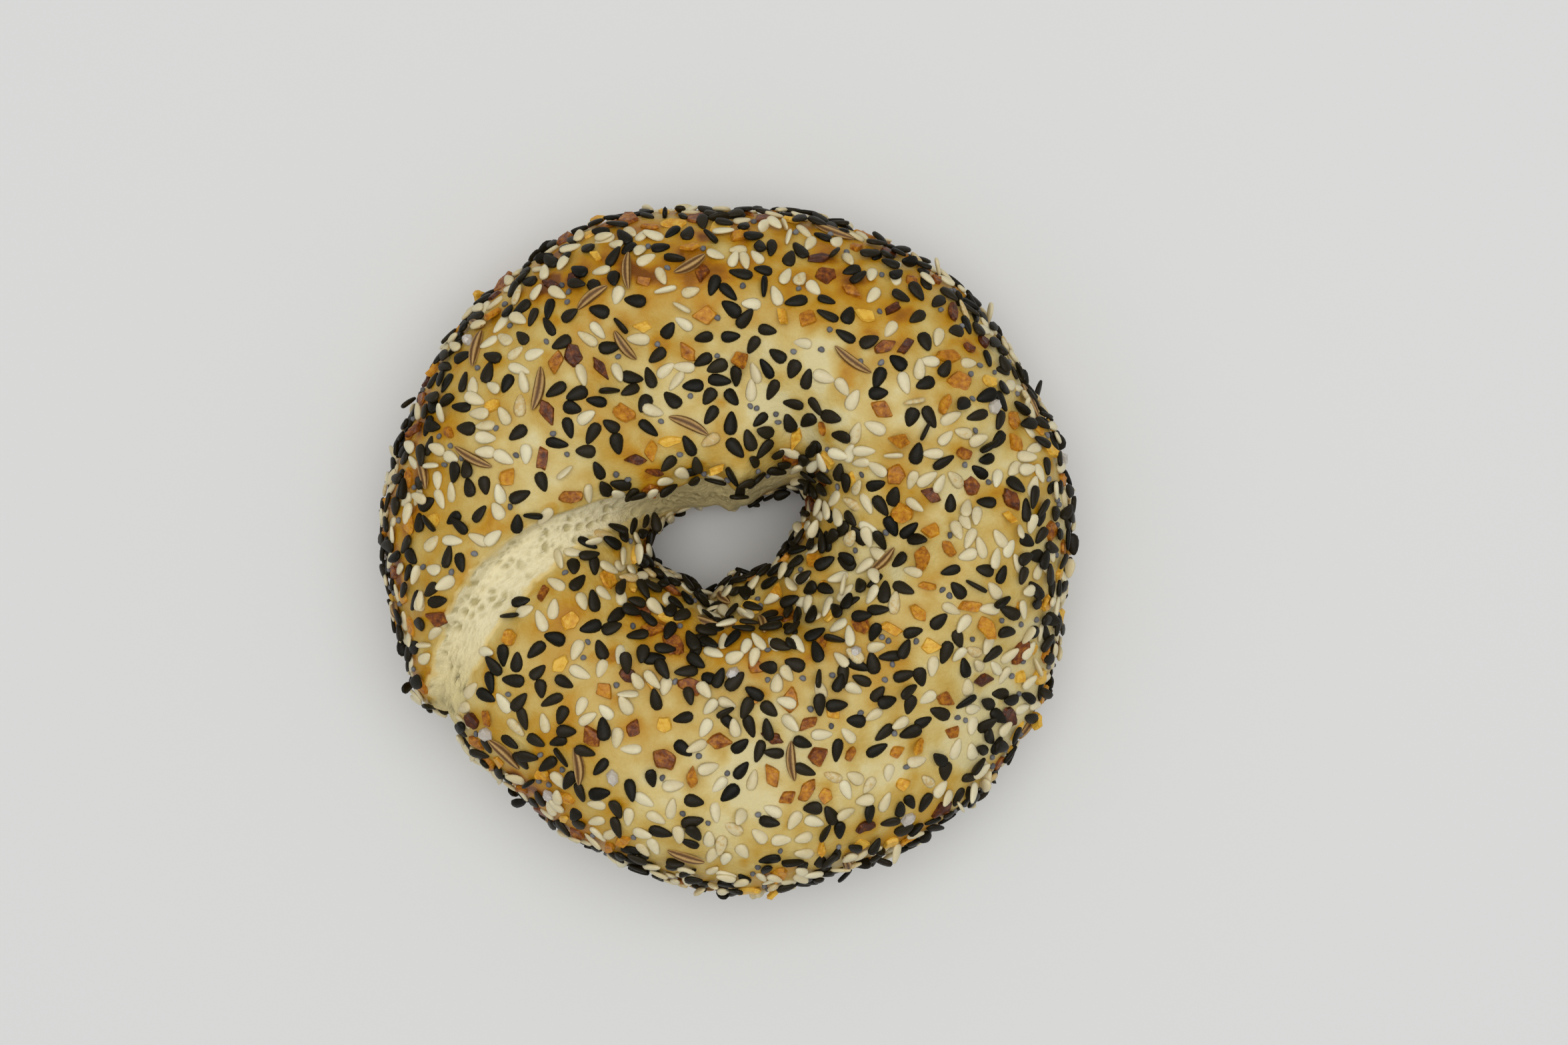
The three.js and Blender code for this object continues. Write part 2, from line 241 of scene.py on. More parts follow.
def broadRelief(turn, tilt):  # the twist's tear, folds and lumps, as they are in the solid
    across, strength = againstFold(tear, turn, tilt)
    torn = smoothstep(across, *tear["sinksFrom"]) * (1 - smoothstep(across, *tear["sinksTo"]))
    relief = sum(size * np.sin(np.radians(a * turn + b * tilt)) for size, a, b in ring["lumps"])
    relief -= alongTear(tear["depths"], turn) * strength * torn
    relief += tear["lip"] * strength * sum(hump(across, *lip) for lip in tear["lips"])
    for dentTurn, dentTilt, reach, depth in ring["dents"]:
        aside = np.radians(wrapAngle(turn - dentTurn)) * fromAxisAt(dentTilt)
        around = np.radians(wrapAngle(tilt - dentTilt)) * ring["tubeRadius"]
        relief -= depth * np.exp(-(aside ** 2 + around ** 2) / reach ** 2)
    for fold in folds:
        foldAcross, foldStrength = againstFold(fold, turn, tilt)
        relief -= fold["depth"] * foldStrength * hump(foldAcross, 0, 1)
        lips = hump(foldAcross, -2, 0.9) + hump(foldAcross, 2, 0.9)
        relief += foldLip * fold["depth"] * foldStrength * lips
    return relief


def crustFrames(turn, tilt):  # points of the crust with two directions along it and one out of it
    step = 0.5
    here = plainPoint(turn, tilt, broadRelief(turn, tilt))
    ahead = plainPoint(turn + step, tilt, broadRelief(turn + step, tilt))
    aside = plainPoint(turn, tilt + step, broadRelief(turn, tilt + step))
    alongTurn, alongTilt = ahead - here, aside - here
    normal = np.cross(alongTurn, alongTilt)
    area = np.linalg.norm(normal, axis=1)
    normal /= area[:, None]
    alongTurn /= np.linalg.norm(alongTurn, axis=1)[:, None]
    return here, alongTurn, np.cross(normal, alongTurn), normal, area / step ** 2


def patchesAt(patches, place):  # what soft round patches of the crust add up to at each place
    total = np.zeros(len(place))
    for turn, tilt, reach, amount in patches:
        at = np.array([[turn], [tilt]], float)
        spot = plainPoint(*at, broadRelief(*at))[0]
        total += amount * np.exp(-(np.linalg.norm(place - spot, axis=1) / reach) ** 2)
    return total


# Where the crust baked darker or stayed pale: turn, tilt, reach in millimetres, amount.
toasting = {
    "everywhere": 0.34,
    "perMillimetreOfRelief": 0.07,
    "roundFlakes": 0.25,
    "flakeReach": 2.3,
    "underside": 0.22,
    "unevenness": [(0.14, 9, 21), (0.2, 3.7, 22), (0.14, 1.6, 23)],  # height, size, seed
    "blots": 0.26,
    "patches": [
        (268, 128, 10, 0.1), (296, 124, 8, 0.1), (238, 122, 8, 0.08),  # under the hole
        (70, 48, 13, 0.27), (96, 45, 13, 0.26), (120, 52, 11, 0.24), (105, 85, 9, 0.08),  # top rim
        (157, 84, 11, -0.12), (185, 50, 9, -0.06), (140, 84, 12, -0.1), (318, 60, 12, -0.1),
        (236, 55, 10, 0.1),
        (152, 40, 10, 0.26), (172, 30, 9, 0.36), (190, 20, 10, 0.4), (205, -5, 9, 0.35),  # left rim
        (229, 35, 7, 0.55), (240, 10, 10, 0.28), (268, 0, 10, 0.2), (290, 0, 9, 0.15),  # lower rim
        (322, 84, 9, 0.1), (345, 62, 9, 0.04), (20, 52, 9, 0.1), (128, -8, 8, 0.3),
        (330, 40, 12, -0.18), (345, 20, 10, -0.16), (235, 78, 8, 0.06), (215, 100, 8, 0.06),
        (285, 96, 12, -0.08), (255, 40, 12, -0.06), (290, 30, 12, -0.08), (320, 75, 11, -0.08),
        (75, 70, 10, -0.06),
        (62, 100, 9, -0.3), (45, 86, 9, -0.22), (82, 92, 8, -0.15),  # pale inner ridge
        (272, 80, 10, -0.2), (300, 66, 9, -0.12), (250, 74, 8, -0.1), (2, 36, 11, -0.2), (350, 100, 8, -0.1),
    ],
}

crustMesh = {
    "turnSteps": 480,
    "finerWhereTorn": 2.4,  # times as many steps along the tear
    "tornRows": (-26.0, 34.0, 0.72),  # tilts from the twist line, and their step
    "rowsFitWidth": 4.4,  # half width of a tear, across the section, that those tilts are made for
    "rowsBehind": 104,
}


def crustGrid():  # turn and tilt of every vertex, in rows that run along the twist line
    start, end, finer = tear["start"], tear["end"], crustMesh["finerWhereTorn"]
    tornSteps = round(crustMesh["turnSteps"] * finer * (end - start) / (360 + (finer - 1) * (end - start)))
    plainSteps = crustMesh["turnSteps"] - tornSteps
    turns = np.concatenate([
        np.linspace(start, end, tornSteps, endpoint=False),
        np.linspace(end, start + 360, plainSteps, endpoint=False),
    ])
    middle, slope = lineAt(twistLine, turns)
    lean = slope * ring["tubeRadius"] / fromAxisAt(middle)
    halfWidth = alongTear(tear["halfWidths"], turns)
    spread = halfWidth * np.hypot(1, lean) / crustMesh["rowsFitWidth"]
    low, high, near = crustMesh["tornRows"]
    nearRows = np.arange(low, high, near)
    share = np.linspace(0, 1, crustMesh["rowsBehind"] + 1)[:-1]
    farLow, farHigh = high * spread, 360 + low * spread
    offsets = np.concatenate([
        nearRows[None, :] * spread[:, None],
        farLow[:, None] + (farHigh - farLow)[:, None] * share[None, :],
    ], axis=1)
    rowCount = offsets.shape[1]
    return np.repeat(turns, rowCount), (middle[:, None] + offsets).ravel(), len(turns), rowCount


def tornMask(turn, tilt, place):  # 1 where crumb shows, with a ragged edge
    across, strength = againstFold(tear, turn, tilt)
    ragged = tear["raggedness"] * (softNoise(place, 2.6, 5) + 0.6 * softNoise(place, 0.9, 6))
    across = across + ragged
    far = alongTear(tear["crumbTo"], turn)
    open_ = smoothstep(across, *tear["crumbFrom"])
    open_ *= 1 - smoothstep(across, far - tear["edgeBlend"], far + tear["edgeBlend"])
    return open_ * smoothstep(strength + 0.4 * ragged, 0.02, 0.35), across


def tearPlaces(turn, tilt, across):  # millimetres along the tear and across it
    steps = np.arange(-15, 400, 1.0)
    lineTilt, slope = lineAt(twistLine, steps)
    reached = np.cumsum(np.radians(np.hypot(fromAxisAt(lineTilt), slope * ring["tubeRadius"])))
    wrapped = np.where(turn > 400, turn - 360, turn)
    return np.stack([np.interp(wrapped, steps, reached), across * 4.0, np.zeros(len(turn))], axis=1)


def toastAt(place, relief):
    toast = toasting["everywhere"] + toasting["perMillimetreOfRelief"] * np.clip(relief, -2.5, 1.2)
    toast += patchesAt(toasting["patches"], place) * (1 + 0.9 * softNoise(place, 2.8, 24))
    toast += layered(place, toasting["unevenness"])
    toast += toasting["blots"] * smoothstep(softNoise(place, 3.1, 25), 0.45, 0.75)
    return toast + toasting["underside"] * (1 - smoothstep(place[:, 2], 0.5, 5))


def meshFrom(name, vertices, faces, attributes=None, smooth=True):
    mesh = bpy.data.meshes.new(name)
    mesh.from_pydata([tuple(v) for v in vertices], [], faces)
    for key, values in (attributes or {}).items():
        layer = mesh.attributes.new(key, "FLOAT", "POINT")
        layer.data.foreach_set("value", np.asarray(values, np.float32))
    mesh.shade_smooth() if smooth else mesh.shade_flat()
    mesh.update()
    return mesh


def addObject(name, mesh):
    piece = bpy.data.objects.new(name, mesh)
    bpy.context.scene.collection.objects.link(piece)
    return piece


smallForms = {  # noises are height, size and seed, in millimetres
    "dimples": [(0.14, 4.2, 31), (0.07, 1.6, 32)],
    "crumbLumps": [(0.3, 2.6, 52), (0.1, 1.1, 51)],
    "poreSize": 1.5,
    "poreDepth": 0.5,
    "poreEdge": (0.14, 0.4),  # from a pore's wall to its floor, in sizes
    "smallPoreSize": 0.85,
    "smallPoreDepth": 0.2,
    "smallPoreEdge": (0.2, 0.5),
    "clusterSize": 3.6,  # the larger pores come in clusters
    "clusterEdge": (-0.15, 0.25),
}


def makeCrust():
    turn, tilt, turnCount, rowCount = crustGrid()
    relief = broadRelief(turn, tilt)
    place = plainPoint(turn, tilt, relief)
    crumb, across = tornMask(turn, tilt, place)
    # Soft dimples on the crust, and clusters of pores in the crumb where it tore.
    torn = tearPlaces(turn, tilt, across)
    dimples = layered(place, smallForms["dimples"])
    clustered = softNoise(place, smallForms["clusterSize"], 43) - 0.35 * across
    clustered = smoothstep(clustered, *smallForms["clusterEdge"])
    pores = cellWalls(place, smallForms["poreSize"], 41)
    pits = -smoothstep(pores, *smallForms["poreEdge"]) * clustered
    smallPores = cellWalls(place, smallForms["smallPoreSize"], 45)
    smallPits = -smoothstep(smallPores, *smallForms["smallPoreEdge"])
    smallPits *= 1 - 0.6 * clustered
    smallPits *= 1 - 0.6 * smoothstep(across, -0.3, 0.5)
    crumbRelief = smallForms["poreDepth"] * pits + smallForms["smallPoreDepth"] * smallPits
    crumbRelief += layered(place, smallForms["crumbLumps"])
    height = relief + (1 - crumb) * dimples + crumb * crumbRelief
    flat = smoothstep(place[:, 2], 0.3, 2.5)
    final = plainPoint(turn, tilt, relief + (height - relief) * flat)
    faces = []
    for i in range(turnCount):
        nextRow = ((i + 1) % turnCount) * rowCount
        for j in range(rowCount):
            k = (j + 1) % rowCount
            faces.append((i * rowCount + j, nextRow + j, nextRow + k, i * rowCount + k))
    # Painted warm shade: the crumb gets a darker, warmer colour near the hole and at the tear's lower end,
    # where it lies in shade and takes bounced light.
    nearHole = smoothstep(np.mod(tilt, 360), 138, 170)
    lowerEnd = smoothstep(turn, 194, 212)
    attributes = {
        "toast": toastAt(place, relief),
        "crumb": crumb,
        "pit": -(pits + 0.4 * smallPits),
        "yellowed": np.clip(nearHole + lowerEnd, 0, 1),
        "alongTear": torn[:, 0],
        "acrossTear": torn[:, 1],
    }
    return addObject("crust", meshFrom("crust", final * mm, faces, attributes))


crust = makeCrust()
print("bagel: crust", len(crust.data.polygons), "faces")


def newMaterial(name):
    material = bpy.data.materials.new(name)
    material.use_nodes = True
    nodes = material.node_tree.nodes
    return material, nodes, material.node_tree.links, nodes["Principled BSDF"]


def setInputs(node, values):
    for name, value in values.items():
        node.inputs[name].default_value = value


def attributeNode(nodes, name):
    node = nodes.new("ShaderNodeAttribute")
    node.attribute_name = name
    return node.outputs["Fac"]


def mathNode(nodes, links, operation, first, second, clamp=False):
    node = nodes.new("ShaderNodeMath")
    node.operation = operation
    node.use_clamp = clamp
    for socket, value in zip(node.inputs, (first, second)):
        if isinstance(value, (int, float)):
            socket.default_value = value
        else:
            links.new(value, socket)
    return node.outputs[0]


def rampNode(nodes, links, factor, stops):
    node = nodes.new("ShaderNodeValToRGB")
    elements = node.color_ramp.elements
    while len(elements) < len(stops):
        elements.new(0.5)
    for element, (position, colour) in zip(elements, stops):
        element.position = position
        element.color = (*colour, 1)
    links.new(factor, node.inputs["Fac"])
    return node.outputs["Color"]


def mixColours(nodes, links, factor, first, second, blend="MIX"):
    node = nodes.new("ShaderNodeMix")
    node.data_type = "RGBA"
    node.blend_type = blend
    for socket, value in ((node.inputs[0], factor), (node.inputs[6], first), (node.inputs[7], second)):
        if isinstance(value, (int, float)):
            socket.default_value = value
        elif isinstance(value, tuple):
            socket.default_value = (*value, 1)
        else:
            links.new(value, socket)
    return node.outputs[2]


def buildGrainGroup():  # fine grain that every baked surface and seed shares
    group = bpy.data.node_groups.new("bakedGrain", "ShaderNodeTree")
    sockets = group.interface
    for name, value in (("Size", 1.0), ("Contrast", 1.0), ("Stretch", 1.0)):
        socket = sockets.new_socket(name, in_out="INPUT", socket_type="NodeSocketFloat")
        socket.default_value = value
    for name in ("Mask", "Height"):
        sockets.new_socket(name, in_out="OUTPUT", socket_type="NodeSocketFloat")
    nodes, links = group.nodes, group.links
    source, result = nodes.new("NodeGroupInput"), nodes.new("NodeGroupOutput")
    coordinates = nodes.new("ShaderNodeTexCoord")
    scaled = nodes.new("ShaderNodeVectorMath")
    scaled.operation = "SCALE"
    links.new(coordinates.outputs["Object"], scaled.inputs[0])
    links.new(mathNode(nodes, links, "DIVIDE", 1000.0, source.outputs["Size"]), scaled.inputs["Scale"])
    noise = nodes.new("ShaderNodeTexNoise")
    setInputs(noise, {"Scale": 1.0, "Detail": 4.0, "Roughness": 0.6})
    links.new(scaled.outputs[0], noise.inputs["Vector"])
    centred = mathNode(nodes, links, "SUBTRACT", noise.outputs["Fac"], 0.5)
    stretched = mathNode(nodes, links, "MULTIPLY", centred, source.outputs["Stretch"])
    mask = mathNode(nodes, links, "MULTIPLY", stretched, source.outputs["Contrast"])
    links.new(mathNode(nodes, links, "ADD", mask, 0.5, clamp=True), result.inputs["Mask"])
    links.new(stretched, result.inputs["Height"])
    return group


bakedGrain = buildGrainGroup()


def grainNode(nodes, size, contrast, stretch=1.0):
    node = nodes.new("ShaderNodeGroup")
    node.node_tree = bakedGrain
    setInputs(node, {"Size": size, "Contrast": contrast, "Stretch": stretch})
    return node


def addBump(nodes, links, shader, height, strength, distance):
    bump = nodes.new("ShaderNodeBump")
    setInputs(bump, {"Strength": strength, "Distance": distance * mm})
    links.new(height, bump.inputs["Height"])
    links.new(bump.outputs["Normal"], shader.inputs["Normal"])


crustFinish = {
    "stops": [
        (0.0, (0.7, 0.6, 0.3)),
        (0.15, (0.66, 0.515, 0.19)),
        (0.3, (0.6, 0.43, 0.12)),
        (0.45, (0.55, 0.345, 0.058)),
        (0.62, (0.52, 0.26, 0.009)),
        (0.8, (0.4, 0.155, 0.002)),
        (1.0, (0.2, 0.062, 0.002)),
    ],
    "crumb": (0.84, 0.75, 0.48),
    # The pore colour is painted shade in the crumb's pores.
    "crumbPoreShade": (0.42, 0.36, 0.17),
    # Painted warm shade for the crumb near the hole and at the tear's lower end.
    "crumbWarmShade": (0.74, 0.58, 0.2),
    "tornEdge": (0.8, 0.6, 0.22),
    "roughness": 0.42,
    "crumbRoughness": 0.85,
    "shine": 0.22,
    "coat": 0.06,
    "coatRoughness": 0.24,
    "blotches": (2.2, 0.34),  # grain's size in millimetres, contrast and, for some, strength
    "specks": (0.35, 1.6),
    "speckShare": 0.16,
    "speckColour": (0.42, 0.24, 0.06),
    "poreShadeShare": 0.9,
    "paintedWarmShadeShare": 0.6,
    # The fibre colour is painted shade in the gaps between the crumb's strands.
    "fibreGapShadeShare": 0.3,
    "fibreGapShade": (0.7, 0.58, 0.3),
    "fibreDepth": -0.35,
    "edgeShare": 2.6,
    "fineGrain": (0.7, 1.0),
    "crumbGrain": (0.45, 1.0, 1.4),
    "bump": (0.5, 0.35),  # strength, and depth in millimetres
}


def fibreNode(nodes, links):  # fine strands that run along the tear, 1 in the gaps between them
    place = nodes.new("ShaderNodeCombineXYZ")
    for axis, attribute, perMillimetre in (("X", "alongTear", 0.45), ("Y", "acrossTear", 2.4)):
        scaled = mathNode(nodes, links, "MULTIPLY", attributeNode(nodes, attribute), perMillimetre)
        links.new(scaled, place.inputs[axis])
    noise = nodes.new("ShaderNodeTexNoise")
    setInputs(noise, {"Scale": 1.0, "Detail": 3.0, "Distortion": 0.6})
    links.new(place.outputs[0], noise.inputs["Vector"])
    gaps = nodes.new("ShaderNodeMapRange")
    setInputs(gaps, {"From Min": 0.44, "From Max": 0.66})
    links.new(noise.outputs["Fac"], gaps.inputs["Value"])
    return gaps.outputs["Result"]


def finishCrust(finish):
    material, nodes, links, shader = newMaterial("glossyCrust")

    def times(first, second, clamp=False):
        return mathNode(nodes, links, "MULTIPLY", first, second, clamp)

    crumb = attributeNode(nodes, "crumb")
    blotches = grainNode(nodes, *finish["blotches"]).outputs["Mask"]
    toast = mathNode(nodes, links, "ADD", attributeNode(nodes, "toast"), blotches)
    toast = mathNode(nodes, links, "SUBTRACT", toast, 0.5, clamp=True)
    colour = rampNode(nodes, links, toast, finish["stops"])
    specks = times(grainNode(nodes, *finish["specks"]).outputs["Mask"], finish["speckShare"])
    colour = mixColours(nodes, links, specks, colour, finish["speckColour"], "MULTIPLY")

    # Painted warm shade on the crumb near the hole and at the tear's lower end.
    yellowed = times(attributeNode(nodes, "yellowed"), finish["paintedWarmShadeShare"])
    crumbColour = mixColours(nodes, links, yellowed, finish["crumb"], finish["crumbWarmShade"])
    # Painted shade: the crumb darkens in its pores.
    pit = times(attributeNode(nodes, "pit"), finish["poreShadeShare"], clamp=True)
    crumbColour = mixColours(nodes, links, pit, crumbColour, finish["crumbPoreShade"])
    fibres = fibreNode(nodes, links)
    # Painted shade in the gaps between the strands, which the bump also sinks.
    fibreGapShadeMask = times(fibres, finish["fibreGapShadeShare"])
    crumbColour = mixColours(nodes, links, fibreGapShadeMask, crumbColour, finish["fibreGapShade"])

    colour = mixColours(nodes, links, crumb, colour, crumbColour)
    bare = mathNode(nodes, links, "SUBTRACT", 1.0, crumb, clamp=True)
    edge = times(times(crumb, bare), finish["edgeShare"], clamp=True)
    colour = mixColours(nodes, links, edge, colour, finish["tornEdge"])
    links.new(colour, shader.inputs["Base Color"])

    rough = times(crumb, finish["crumbRoughness"] - finish["roughness"])
    rough = mathNode(nodes, links, "ADD", rough, finish["roughness"])
    links.new(rough, shader.inputs["Roughness"])
    links.new(times(bare, finish["coat"]), shader.inputs["Coat Weight"])
    setInputs(shader, {"Coat Roughness": finish["coatRoughness"], "Specular IOR Level": finish["shine"]})

    fine = grainNode(nodes, *finish["fineGrain"])
    spongy = grainNode(nodes, *finish["crumbGrain"])
    ropy = times(fibres, finish["fibreDepth"])
    ropy = mathNode(nodes, links, "ADD", spongy.outputs["Height"], ropy)
    height = nodes.new("ShaderNodeMix")
    links.new(crumb, height.inputs[0])
    links.new(fine.outputs["Height"], height.inputs[2])
    links.new(ropy, height.inputs[3])
    addBump(nodes, links, shader, height.outputs[0], *finish["bump"])
    return material


crust.data.materials.append(finishCrust(crustFinish))


# Toppings. Each kind has a few shapes, one unit long, wide and thick, that the node tree sizes.
def closedFaces(rings, sides, first, lowTip, highTip):  # rings of points, closed by a tip at each end
    faces = []
    end = first + (rings - 1) * sides
    for s in range(sides):
        n = (s + 1) % sides
        faces += [(lowTip, first + n, first + s), (highTip, end + s, end + n)]
        for a in range(first, end, sides):
            faces.append((a + s, a + n, a + sides + n, a + sides + s))
    return faces


def lathedSeed(name, seed, profile, bend, flatten, blunt, wobble, stations=7, sides=8):
    random_ = random.Random(seed)
    vertices = [(-0.5, bend * -0.5, 0.0)]
    for k in range(1, stations):
        along = -0.5 * math.cos(math.pi * k / stations)
        share = profile(along)
        for s in range(sides):
            angle = 2 * math.pi * s / sides
            up = math.sin(angle)
            low = flatten if up < 0 else 1.0
            uneven = 1 + wobble * (random_.random() - 0.5)
            vertices.append((
                along,
                bend * (0.5 - 4 * along * along) + 0.5 * share * uneven * math.cos(angle),
                0.5 * share ** blunt * uneven * low * math.copysign(abs(up) ** 0.75, up),
            ))
    vertices.append((0.5, bend * -0.5, 0.0))
    return meshFrom(name, vertices, closedFaces(stations - 1, sides, 1, 0, len(vertices) - 1))


def roundSeed(along):
    return math.sqrt(max(0.0, 1 - 4 * along * along))


def teardrop(along):  # pointed at -0.5, round at 0.5
    return max(0.0, 1 - 4 * along * along) ** 0.46 * (0.7 + 0.5 * along) / 0.745


def plumpTeardrop(along):
    return max(0.0, 1 - 4 * along * along) ** 0.48 * (0.72 + 0.46 * along) / 0.76


def chipMesh(name, seed):  # an angular, broken flake, thicker in the middle and curled
    random_ = random.Random(seed)
    corners = random_.choice((4, 4, 5, 5, 6))
    narrow = random_.uniform(0.55, 1.05)
    curl = random_.uniform(-0.5, 0.8)
    points = []
    for k in range(corners):
        angle = 2 * math.pi * (k + random_.uniform(-0.3, 0.3)) / corners
        reach = 0.5 * random_.uniform(0.82, 1.12)
        points.append((reach * math.cos(angle), reach * narrow * math.sin(angle)))
    outline = []
    for k in range(corners):
        (x, y), (nextX, nextY) = points[k], points[(k + 1) % corners]
        for share in (0.1, random_.uniform(0.4, 0.6), 0.9):
            dent = 1 - (random_.uniform(-0.1, 0.03) if 0.2 < share < 0.8 else 0)
            outline.append(((x + (nextX - x) * share) * dent, (y + (nextY - y) * share) * dent))
    vertices = []
    levels = [(-0.5, 0.84), (-0.1, 1.0), (0.42, 0.86)]
    for height, share in levels:
        for x, y in outline:
            lift = height * random_.uniform(0.75, 1.2) + curl * 2.5 * (x * x + 0.4 * y * y)
            ragged = share * random_.uniform(0.93, 1.05)
            vertices.append((x * ragged, y * ragged, lift))
    vertices.append((0.0, 0.0, -0.5))
    vertices.append((random_.uniform(-0.12, 0.12), random_.uniform(-0.08, 0.08), 0.5))
    faces = closedFaces(len(levels), len(outline), 0, len(vertices) - 2, len(vertices) - 1)
    return meshFrom(name, vertices, faces, smooth=False)


def carawayMesh(name):  # a slim crescent with five pale ribs
    stations, sides, ribs = 12, 20, 5
    bend, slimness = 0.05, 0.24
    vertices, rib = [(-0.5, -bend * 0.5, 0.0)], [1.0]
    for k in range(1, stations):
        along = -0.5 * math.cos(math.pi * k / stations)
        share = max(0.08, 1 - 4 * along * along) ** 0.6
        for s in range(sides):
            angle = 2 * math.pi * s / sides
            crest = 0.5 + 0.5 * math.cos(ribs * angle + 0.5 * math.pi)
            radius = 0.5 * share * (0.84 + 0.16 * crest)
            aside = bend * (0.5 - 4 * along * along) + radius * slimness * math.cos(angle)
            vertices.append((along, aside, radius * math.sin(angle)))
            rib.append(crest)
    vertices.append((0.5, -bend * 0.5, 0.0))
    rib.append(1.0)
    faces = closedFaces(stations - 1, sides, 1, 0, len(vertices) - 1)
    return meshFrom(name, vertices, faces, {"rib": rib})


def crystalMesh(name, seed):  # a blunt, broken crystal
    random_ = random.Random(seed)
    levels = [(-0.5, 0.7), (-0.2, 1.0), (0.2, 0.92), (0.5, 0.55)]
    sides = 6
    vertices = []
    for height, share in levels:
        for s in range(sides):
            angle = 2 * math.pi * s / sides
            reach = 0.5 * share * random_.uniform(0.78, 1.1)
            lift = height * random_.uniform(0.85, 1.1)
            vertices.append((reach * math.cos(angle), reach * math.sin(angle), lift))
    faces = [tuple(reversed(range(sides))), tuple(range(3 * sides, 4 * sides))]
    for a in range(0, 3 * sides, sides):
        for s in range(sides):
            n = (s + 1) % sides
            faces.append((a + s, a + n, a + sides + n, a + sides + s))
    return meshFrom(name, vertices, faces, smooth=False)


def buildScatterTree():
    tree = bpy.data.node_groups.new("scatterToppings", "GeometryNodeTree")
    for name, kind in (
        ("Geometry", "Geometry"), ("Shapes", "Collection"), ("Length", "Float"), ("Width", "Float"),
        ("Thickness", "Float"), ("Unevenness", "Float"), ("Last Shape", "Int"), ("Seed", "Int"),
        ("Finish", "Material"),
    ):
        tree.interface.new_socket(name, in_out="INPUT", socket_type="NodeSocket" + kind)
    tree.interface.new_socket("Geometry", in_out="OUTPUT", socket_type="NodeSocketGeometry")
    nodes, links = tree.nodes, tree.links
    source, result = nodes.new("NodeGroupInput"), nodes.new("NodeGroupOutput")

    shapes = nodes.new("GeometryNodeCollectionInfo")
    links.new(source.outputs["Shapes"], shapes.inputs["Collection"])
    setInputs(shapes, {"Separate Children": True, "Reset Children": True})

    size = nodes.new("ShaderNodeCombineXYZ")
    for axis, name in zip("XYZ", ("Length", "Width", "Thickness")):
        links.new(source.outputs[name], size.inputs[axis])
    least = mathNode(nodes, links, "SUBTRACT", 1.0, source.outputs["Unevenness"])
    most = mathNode(nodes, links, "ADD", 1.0, source.outputs["Unevenness"])
    vary = nodes.new("FunctionNodeRandomValue")
    vary.data_type = "FLOAT_VECTOR"
    links.new(least, vary.inputs["Min"])
    links.new(most, vary.inputs["Max"])
    links.new(source.outputs["Seed"], vary.inputs["Seed"])
    scale = nodes.new("ShaderNodeVectorMath")
    scale.operation = "MULTIPLY"
    links.new(size.outputs[0], scale.inputs[0])
    links.new(vary.outputs["Value"], scale.inputs[1])

    choose = nodes.new("FunctionNodeRandomValue")
    choose.data_type = "INT"
    choose.inputs[4].default_value = 0
    links.new(source.outputs["Last Shape"], choose.inputs[5])
    links.new(source.outputs["Seed"], choose.inputs["Seed"])

    facing = nodes.new("GeometryNodeInputNamedAttribute")
    facing.data_type = "FLOAT_VECTOR"
    facing.inputs["Name"].default_value = "facing"

    place = nodes.new("GeometryNodeInstanceOnPoints")
    links.new(source.outputs["Geometry"], place.inputs["Points"])
    links.new(shapes.outputs["Instances"], place.inputs["Instance"])
    place.inputs["Pick Instance"].default_value = True
    links.new(choose.outputs[2], place.inputs["Instance Index"])
    links.new(facing.outputs["Attribute"], place.inputs["Rotation"])
    links.new(scale.outputs[0], place.inputs["Scale"])

    real = nodes.new("GeometryNodeRealizeInstances")
    links.new(place.outputs["Instances"], real.inputs["Geometry"])
    finish = nodes.new("GeometryNodeSetMaterial")
    links.new(real.outputs["Geometry"], finish.inputs["Geometry"])
    links.new(source.outputs["Finish"], finish.inputs["Material"])
    links.new(finish.outputs["Geometry"], result.inputs["Geometry"])
    return tree


scatterTree = buildScatterTree()


def scatter(name, meshes, topping, places, material):
    shapes = bpy.data.collections.new(name + "Shapes")
    bpy.context.scene.collection.children.link(shapes)
    samples = [bpy.data.objects.new(mesh.name, mesh) for mesh in meshes]
    for sample in samples:
        shapes.objects.link(sample)
    points = bpy.data.meshes.new(name + "Points")
    points.from_pydata([place["at"] for place in places], [], [])
    facing = points.attributes.new("facing", "FLOAT_VECTOR", "POINT")
    facing.data.foreach_set("vector", [value for place in places for value in place["facing"]])
    shade = points.attributes.new("shade", "FLOAT", "POINT")
    shade.data.foreach_set("value", [place["shade"] for place in places])
    holder = addObject(name + "Points", points)
    modifier = holder.modifiers.new("scatter", "NODES")
    modifier.node_group = scatterTree
    length, width, thickness = topping["size"]
    values = {
        "Shapes": shapes,
        "Length": length * mm,
        "Width": width * mm,
        "Thickness": thickness * mm,
        "Unevenness": topping["unevenness"],
        "Last Shape": len(meshes) - 1,
        "Seed": topping["seed"],
        "Finish": material,
    }
    for item in scatterTree.interface.items_tree:
        if item.in_out == "INPUT" and item.name in values:
            modifier[item.identifier] = values[item.name]
    evaluated = holder.evaluated_get(bpy.context.evaluated_depsgraph_get())
    mesh = bpy.data.meshes.new_from_object(evaluated)
    mesh.name = name
    if "facing" in mesh.attributes:
        mesh.attributes.remove(mesh.attributes["facing"])
    holder.modifiers.remove(modifier)
    for item in samples + [holder]:
        bpy.data.objects.remove(item)
    bpy.data.collections.remove(shapes)
    piece = addObject(name, mesh)
    print("bagel:", name, len(places), "pieces,", len(mesh.polygons), "faces")
    return piece


